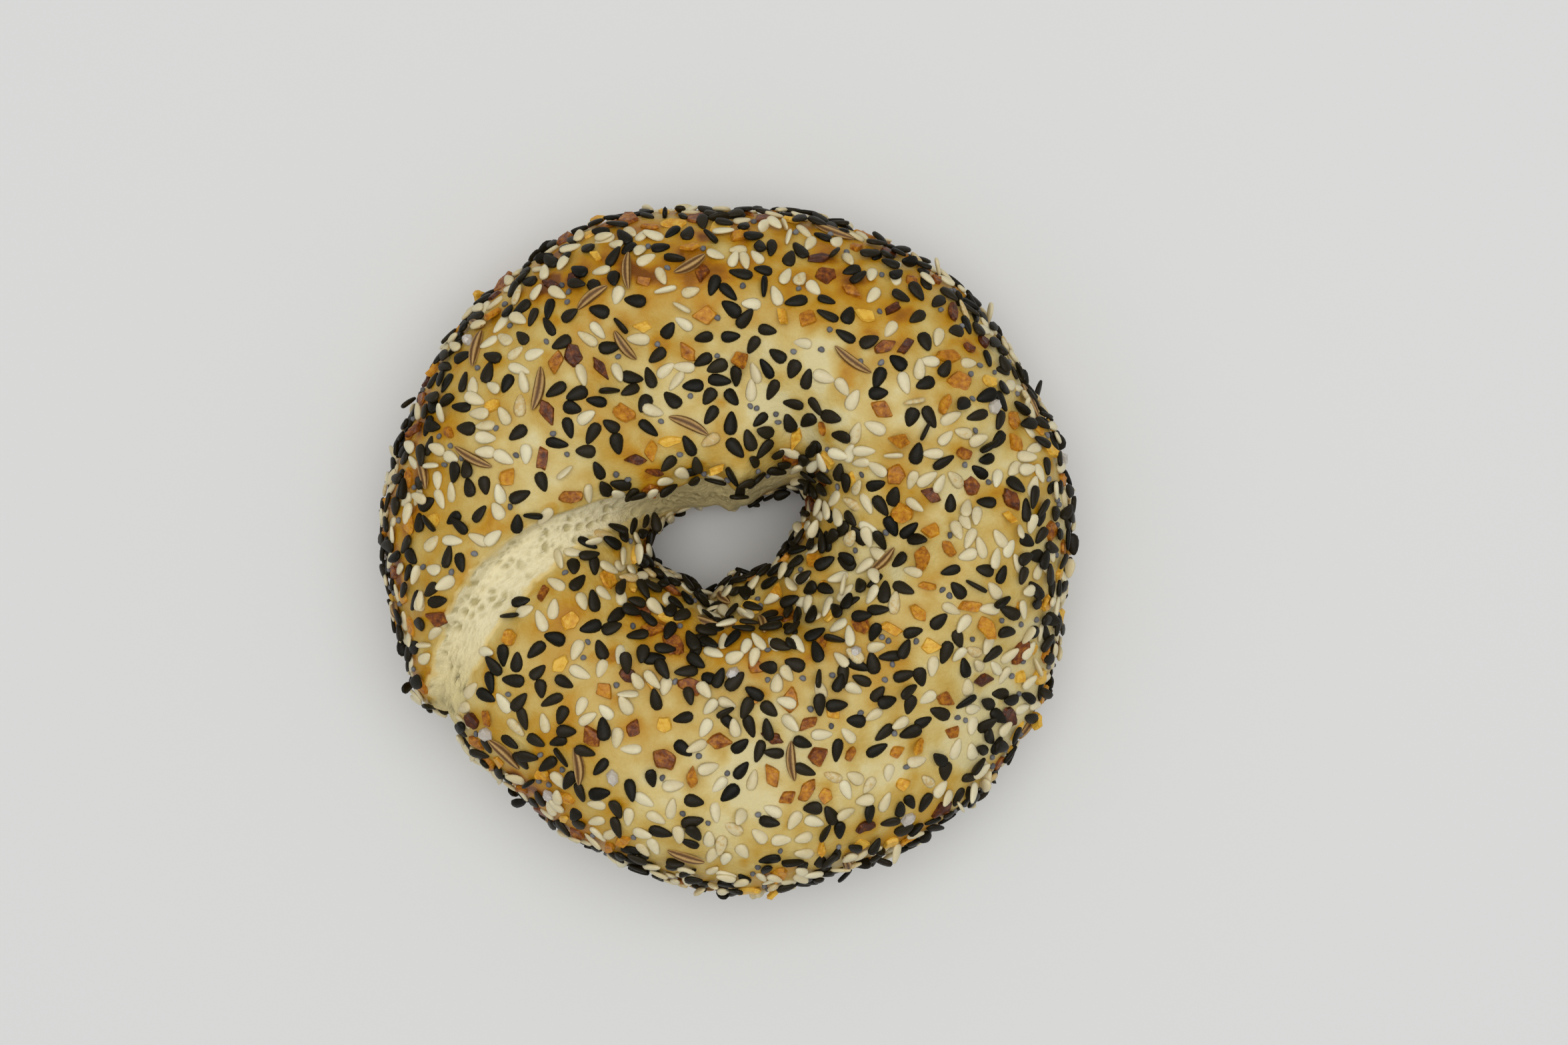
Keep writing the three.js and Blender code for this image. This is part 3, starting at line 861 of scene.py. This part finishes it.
# Size is length, width and thickness in millimetres, sunk how deep a piece sits in the crust, and
# tearRoom how far it stays from the crumb, in half widths. Prefer is how much a kind follows
# moreBlack. Stops are colours, grain its size, contrast and strength, bump strength and depth.
plainTopping = dict(stacking=0.0, onEdge=0.0, leaning=0.0, prefer=0.0, shadeSpread=1.0, evenly=False)
blackSesame = dict(
    plainTopping, count=1130, size=(3.25, 1.95, 0.85), unevenness=0.13, sunk=0.26, seed=11,
    tearRoom=0.05, stacking=1.4, onEdge=0.06, leaning=0.04, prefer=0.9,
    stops=[(0.0, (0.003, 0.0026, 0.0004)), (1.0, (0.023, 0.0165, 0.006))],
    roughness=0.5, shine=0.18, grain=(0.4, 0.9), bump=(0.35, 0.12),
)
whiteSesame = dict(
    plainTopping, count=820, size=(3.15, 1.85, 0.8), unevenness=0.12, sunk=0.26, seed=12,
    tearRoom=0.05, stacking=1.4, onEdge=0.06, leaning=0.04, prefer=-0.4,
    stops=[(0.0, (0.58, 0.4, 0.15)), (0.14, (0.64, 0.53, 0.29)), (1.0, (0.75, 0.675, 0.445))],
    roughness=0.42, shine=0.35, grain=(0.6, 0.9), bump=(0.2, 0.12),
)
poppySeeds = dict(
    plainTopping, count=280, size=(1.0, 0.85, 0.8), unevenness=0.12, sunk=0.15, seed=13,
    tearRoom=0.1, stacking=0.03, prefer=0.5,
    stops=[(0.0, (0.075, 0.073, 0.076)), (1.0, (0.2, 0.195, 0.2))],
    roughness=0.6, shine=0.5, grain=(0.2, 0.9), bump=(0.6, 0.12),
)
carawaySeeds = dict(
    plainTopping, count=32, size=(6.1, 7.0, 1.5), unevenness=0.13, sunk=0.35, seed=14,
    trueWidth=1.5, tearRoom=0.2, evenly=True,  # its shape is slimmer than one unit
    stops=[(0.0, (0.08, 0.034, 0.007)), (0.4, (0.19, 0.09, 0.022)), (0.85, (0.47, 0.29, 0.1))],
    roughness=0.55, shine=0.3, grain=(0.5, 0.5), bump=(0.4, 0.15),
)
onionFlakes = dict(
    plainTopping, count=300, size=(3.7, 3.0, 0.85), unevenness=0.3, sunk=0.3, seed=15,
    tearRoom=0.15, leaning=0.08, shadeSpread=1.5, evenly=True, flaky=True,
    stops=[
        (0.0, (0.06, 0.013, 0.002)), (0.25, (0.2, 0.05, 0.004)), (0.55, (0.48, 0.18, 0.007)),
        (0.82, (0.64, 0.31, 0.018)), (1.0, (0.76, 0.45, 0.055)),
    ],
    roughness=0.4, shine=0.28, grain=(0.8, 0.6, 1.1), bump=(0.5, 0.25),
)
saltCrystals = dict(
    plainTopping, count=16, size=(2.6, 2.2, 1.5), unevenness=0.25, sunk=0.3, seed=16,
    tearRoom=0.2, evenly=True,
    stops=[(0.0, (0.8, 0.74, 0.66)), (1.0, (0.95, 0.93, 0.9))],
    roughness=0.22, shine=0.5, grain=(0.9, 0.5), bump=(0.3, 0.2),
)

# How thickly the toppings lie: turn, tilt, reach in millimetres, amount.
sprinkling = {
    "everywhere": 0.42,
    "rim": 0.48,  # more on the outer rim
    "rimAt": (22, 42),  # tilt and width
    "holeWall": 0.7,
    "holeWallFrom": (108, 140),
    "lowestTilt": -62,
    "highestTilt": 236,
    "endsInHole": (205, 235),
    "clearOfBoard": (2.2, 5.0),  # heights
    "unevenness": [(0.5, 6.5, 61)],
    "patches": [
        (268, 124, 11, 0.8), (300, 122, 10, 0.6), (330, 135, 10, 0.4), (0, 130, 12, 0.4),
        (40, 140, 10, 0.3), (238, 122, 9, 0.3),
        (62, 100, 9, -0.28), (45, 86, 9, -0.2), (272, 80, 10, -0.16), (250, 74, 8, -0.16),
        (105, 78, 9, -0.1), (128, -8, 9, -0.9), (148, 95, 9, -0.15), (210, 80, 7, -0.1),
    ],
    "moreBlack": [
        (270, 122, 10, 1.0), (300, 122, 9, 0.9), (0, 140, 10, 0.5), (30, 150, 9, 0.5), (110, 20, 10, 0.4),
        (225, 140, 9, 0.5), (60, 140, 9, 0.5), (12, 62, 13, 0.6), (205, 62, 10, 0.3), (285, 98, 8, 0.4),
        (175, 10, 10, 0.5), (55, 15, 10, 0.5), (300, 70, 9, -0.6), (272, 80, 10, -0.6), (275, 15, 10, -0.7),
        (245, 60, 9, -0.4), (62, 100, 9, -0.3), (45, 86, 9, -0.3), (330, 20, 9, 0.3),
    ],
    "moreFlakes": [
        (262, 126, 10, 1.6), (292, 122, 9, 1.2), (232, 118, 9, 0.8), (100, 30, 12, 0.9), (60, 20, 10, 0.6),
        (165, 15, 11, 1.0), (195, 10, 9, 1.0), (225, 25, 10, 1.2), (205, 75, 8, 0.6), (40, 60, 9, 0.6),
    ],
    "densest": 1.3,
    "candidates": 120000,
    "tries": 40000,  # for each kind
    "cell": 3,  # side of the cells in which lying pieces are looked up
    "room": 0.41,  # a lying piece's radius, in widths
    "pilesFrom": 0.75,  # density from which pieces may lie flat over others
    "evenDensity": 0.6,
    "liftFlat": 0.8,  # how far a piece over others is lifted, in thicknesses
    "liftTipped": 0.42,
    "tippedPitch": (11, 17),  # degrees
    "leaningPitch": (20, 48),
    "onEdgeRoll": (60, 95),
    "keepsOff": -1.15,  # the crumb's edge on the rim's side, in half widths
    "seed": 7,
}


def sprinkleDensity(turn, tilt, place):
    density = np.full(len(turn), sprinkling["everywhere"])
    density += sprinkling["rim"] * hump(wrapAngle(tilt), *sprinkling["rimAt"])
    density += sprinkling["holeWall"] * smoothstep(tilt, *sprinkling["holeWallFrom"])
    density += patchesAt(sprinkling["patches"], place)
    density *= smoothstep(tilt, sprinkling["lowestTilt"], sprinkling["lowestTilt"] + 30)
    density *= 1 - smoothstep(tilt, *sprinkling["endsInHole"])
    density *= smoothstep(place[:, 2], *sprinkling["clearOfBoard"])
    density *= 1 + layered(place, sprinkling["unevenness"])
    return np.clip(density, 0, sprinkling["densest"])


class Sprinkler:
    # Drops toppings on the crust one by one, and lays some over those already there.
    def __init__(self):
        count = sprinkling["candidates"]
        generator = np.random.default_rng(sprinkling["seed"])
        turn = generator.uniform(0, 360, count)
        tilt = generator.uniform(sprinkling["lowestTilt"], sprinkling["highestTilt"], count)
        area = crustFrames(turn, tilt)[4]
        kept = generator.uniform(0, 1, count) < area / area.max()
        turn, tilt = turn[kept], tilt[kept]
        self.here, self.along, self.aside, self.normal = crustFrames(turn, tilt)[:4]
        self.density = sprinkleDensity(turn, tilt, self.here)
        self.across, self.strength = againstFold(tear, turn, tilt)
        self.tornTo = alongTear(tear["crumbTo"], turn) + 0.05
        self.clump = softNoise(self.here, 6.0, 71) + patchesAt(sprinkling["moreBlack"], self.here)
        self.flaky = 0.35 * (1 + patchesAt(sprinkling["moreFlakes"], self.here))
        self.next = 0
        self.cells = {}
        self.around = [(i - 1, j - 1, k - 1) for i, j, k in np.ndindex(3, 3, 3)]
        self.random = random.Random(sprinkling["seed"])

    def cellOf(self, spot):
        return tuple(int(math.floor(value / sprinkling["cell"])) for value in spot)

    def layersUnder(self, spot, radius):  # how many layers of toppings already lie there
        x, y, z = self.cellOf(spot)
        worst = 0
        for i, j, k in self.around:
            for other, otherRadius, layer in self.cells.get((x + i, y + j, z + k), ()):
                if math.dist(spot, other) < radius + otherRadius:
                    worst = max(worst, layer)
        return worst

    def wantedAt(self, k, topping):
        if not topping["evenly"]:
            return self.density[k] * (1 + topping["prefer"] * self.clump[k])
        share = self.flaky[k] if topping.get("flaky") else 1
        return min(self.density[k], sprinkling["evenDensity"]) * share

    def drop(self, topping):
        places = []
        length, width, thickness = topping["size"]
        width = topping.get("trueWidth", width)
        radius = sprinkling["room"] * width
        room, stacking = topping["tearRoom"], topping["stacking"]
        for _ in range(sprinkling["tries"]):
            if len(places) >= topping["count"]:
                break
            k = self.next
            self.next = (self.next + 1) % len(self.here)
            if self.random.random() > self.wantedAt(k, topping):
                continue
            tornFrom = sprinkling["keepsOff"] - room
            if self.strength[k] > 0.04 and tornFrom < self.across[k] < self.tornTo[k] + room:
                continue
            spin = self.random.uniform(0, 2 * math.pi)
            direction = self.along[k] * math.cos(spin) + self.aside[k] * math.sin(spin)
            reach = 0.5 * (length - width)
            spots = [self.here[k] + direction * reach * end for end in (-1, 0, 1)]
            middle = self.layersUnder(spots[1], radius)
            often = stacking * (self.density[k] - sprinkling["pilesFrom"])
            if middle >= 2 or (middle and self.random.random() > often):
                continue
            back, front = self.layersUnder(spots[0], radius), self.layersUnder(spots[2], radius)
            worst = max(back, front)
            if worst >= 2 or (worst and self.random.random() > stacking * self.density[k] ** 2):
                continue
            if back and front and not middle:
                continue
            roll = math.radians(self.random.gauss(0, 9))
            pitch = math.radians(self.random.gauss(0, 5))
            lift = thickness / 2 - topping["sunk"]
            if middle:
                lift += sprinkling["liftFlat"] * thickness
            elif worst:
                lift += sprinkling["liftTipped"] * thickness
                tipped = self.random.uniform(*sprinkling["tippedPitch"])
                pitch = math.radians(tipped) * (-1 if front else 1)
            if self.random.random() < topping["onEdge"]:
                side = self.random.choice((-1, 1))
                roll = math.radians(side * self.random.uniform(*sprinkling["onEdgeRoll"]))
                lift += (width - thickness) / 2 * 0.8
            elif self.random.random() < topping["leaning"]:
                side = self.random.choice((-1, 1))
                pitch = math.radians(side * self.random.uniform(*sprinkling["leaningPitch"]))
                lift += 0.5 * length * abs(math.sin(pitch)) * 0.75
            basis = Matrix((direction, np.cross(self.normal[k], direction), self.normal[k])).transposed()
            turned = basis @ Matrix.Rotation(pitch, 3, "Y") @ Matrix.Rotation(roll, 3, "X")
            at = self.here[k] + self.normal[k] * lift
            shade = 0.5 + topping["shadeSpread"] * 0.5 * self.random.gauss(0, 0.45)
            places.append({
                "at": tuple(at * mm),
                "facing": tuple(turned.to_euler("XYZ")),
                "shade": min(1.0, max(0.0, shade)),
            })
            for spot in spots:
                lying = (tuple(spot), radius, 2 if middle or worst else 1)
                self.cells.setdefault(self.cellOf(spot), []).append(lying)
        return places


def stainCrust(places):  # the crust browned more round each onion flake
    tree = KDTree(len(places))
    for k, place in enumerate(places):
        tree.insert(place["at"], k)
    tree.balance()
    layer = crust.data.attributes["toast"].data
    toast = np.empty(len(layer), np.float32)
    layer.foreach_get("value", toast)
    reach = toasting["flakeReach"] * mm
    for k, vertex in enumerate(crust.data.vertices):
        spot, which, apart = tree.find(vertex.co)
        if apart < 2.5 * reach:
            darkness = 1.2 - places[which]["shade"]
            toast[k] += toasting["roundFlakes"] * darkness * math.exp(-(apart / reach) ** 2)
    layer.foreach_set("value", toast)


def finishTopping(name, topping):
    material, nodes, links, shader = newMaterial(name)
    grain = grainNode(nodes, *topping["grain"])
    if topping is saltCrystals:
        tone = grain.outputs["Mask"]
        setInputs(shader, {"Transmission Weight": 0.55, "IOR": 1.5})
    elif topping is carawaySeeds:
        tone = mathNode(nodes, links, "MULTIPLY", attributeNode(nodes, "rib"), grain.outputs["Mask"])
        tone = mathNode(nodes, links, "MULTIPLY", tone, 2.0, clamp=True)
    else:
        shade = attributeNode(nodes, "shade")
        tone = mathNode(nodes, links, "ADD", shade, grain.outputs["Height"], clamp=True)
    links.new(rampNode(nodes, links, tone, topping["stops"]), shader.inputs["Base Color"])
    setInputs(shader, {"Roughness": topping["roughness"], "Specular IOR Level": topping["shine"]})
    addBump(nodes, links, shader, grain.outputs["Height"], *topping["bump"])
    return material


sprinkler = Sprinkler()
print("bagel: crust surveyed for toppings")

flakePlaces = sprinkler.drop(onionFlakes)
stainCrust(flakePlaces)
carawayPlaces = sprinkler.drop(carawaySeeds)
saltPlaces = sprinkler.drop(saltCrystals)
rounds = 6  # black and white by turns, so that neither takes all the room
someBlack = dict(blackSesame, count=blackSesame["count"] // rounds)
someWhite = dict(whiteSesame, count=whiteSesame["count"] // rounds)
blackPlaces, whitePlaces = [], []
for _ in range(rounds):
    blackPlaces += sprinkler.drop(someBlack)
    whitePlaces += sprinkler.drop(someWhite)
poppyPlaces = sprinkler.drop(poppySeeds)

seedForms = [(0.0, 0.8), (0.03, 0.7), (-0.04, 0.9), (0.015, 1.0)]  # how bent, and how full below
blackShapes, whiteShapes = [], []
for k, form in enumerate(seedForms):
    blackShapes.append(lathedSeed("blackShape%d" % k, k, teardrop, *form, blunt=0.5, wobble=0.05))
    whiteShapes.append(lathedSeed("whiteShape%d" % k, k, plumpTeardrop, *form, blunt=0.6, wobble=0.04))
poppyShapes = [
    lathedSeed("poppyShape%d" % k, k, roundSeed, 0.1, 1.0, blunt=1.0, wobble=0.15, stations=5, sides=6)
    for k in range(3)
]
carawayShapes = [carawayMesh("carawayShape%d" % k) for k in range(2)]
flakeShapes = [chipMesh("flakeShape%d" % k, 100 + k) for k in range(14)]
saltShapes = [crystalMesh("saltShape%d" % k, 200 + k) for k in range(5)]

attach(crust, "root")
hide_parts("bagel")
for name, shapes, topping, places, finish, slot in (
    ("blackSesame", blackShapes, blackSesame, blackPlaces, "charcoalSesame", "black_sesame"),
    ("whiteSesame", whiteShapes, whiteSesame, whitePlaces, "ivorySesame", "white_sesame"),
    ("poppySeeds", poppyShapes, poppySeeds, poppyPlaces, "blueGreyPoppy", "poppy_seed"),
    ("carawaySeeds", carawayShapes, carawaySeeds, carawayPlaces, "ribbedCaraway", "caraway"),
    ("onionFlakes", flakeShapes, onionFlakes, flakePlaces, "toastedOnion", "toasted_onion"),
    ("saltCrystals", saltShapes, saltCrystals, saltPlaces, "clearSalt", "salt"),
):
    piece = scatter(name, shapes, topping, places, finishTopping(finish, topping))
    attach(piece, "root")
print("bagel: pieces ride on the frame")


# Floor, light and camera
studio = {
    "floorSize": 4.0,
    "floorColour": (0.74, 0.74, 0.725),
    "skyStrength": 0.45,
    "skyColour": (0.97, 0.985, 1.0),
    "lights": [  # name, place, size, power
        ("keyLight", (0.09, 0.06, 0.92), 0.9, 4.8),
        ("fillLight", (-0.45, -0.1, 0.8), 0.7, 0.5),
    ],
}
camera = {
    "lens": 50.0,
    "sensor": 36.0,
    "above": 0.338,  # over the middle of the dough's height
    "aside": (0.00904, 0.00425),
    "middleHeight": 0.0165,
}


def makeFloor():
    half = studio["floorSize"] / 2
    corners = [(-half, -half, 0), (half, -half, 0), (half, half, 0), (-half, half, 0)]
    floor = addObject("floor", meshFrom("floor", corners, [(0, 1, 2, 3)], smooth=False))
    material, _, _, shader = newMaterial("paleBoard")
    setInputs(shader, {"Base Color": (*studio["floorColour"], 1), "Roughness": 0.7})
    floor.data.materials.append(material)


def makeLight(name, at, size, power):
    light = bpy.data.lights.new(name, "AREA")
    light.shape = "DISK"
    light.size = size
    light.energy = power
    holder = addObject(name, light)
    holder.location = at
    holder.rotation_euler = (Vector((0, 0, 0.015)) - Vector(at)).to_track_quat("-Z", "Y").to_euler()


def makeWorld():
    world = bpy.data.worlds.new("studioSky")
    world.use_nodes = True
    background = world.node_tree.nodes["Background"]
    setInputs(background, {"Color": (*studio["skyColour"], 1), "Strength": studio["skyStrength"]})
    bpy.context.scene.world = world


def makeCamera():
    data = bpy.data.cameras.new("photoCamera")
    data.lens = camera["lens"]
    data.sensor_width = camera["sensor"]
    data.clip_start = 0.01
    holder = addObject("photoCamera", data)
    x, y = camera["aside"]
    holder.location = (x, y, camera["middleHeight"] + camera["above"])
    bpy.context.scene.camera = holder


makeFloor()
for lamp in studio["lights"]:
    makeLight(*lamp)
makeWorld()
makeCamera()
bpy.context.scene.view_settings.view_transform = "Standard"
print("bagel: floor, lights and camera set")
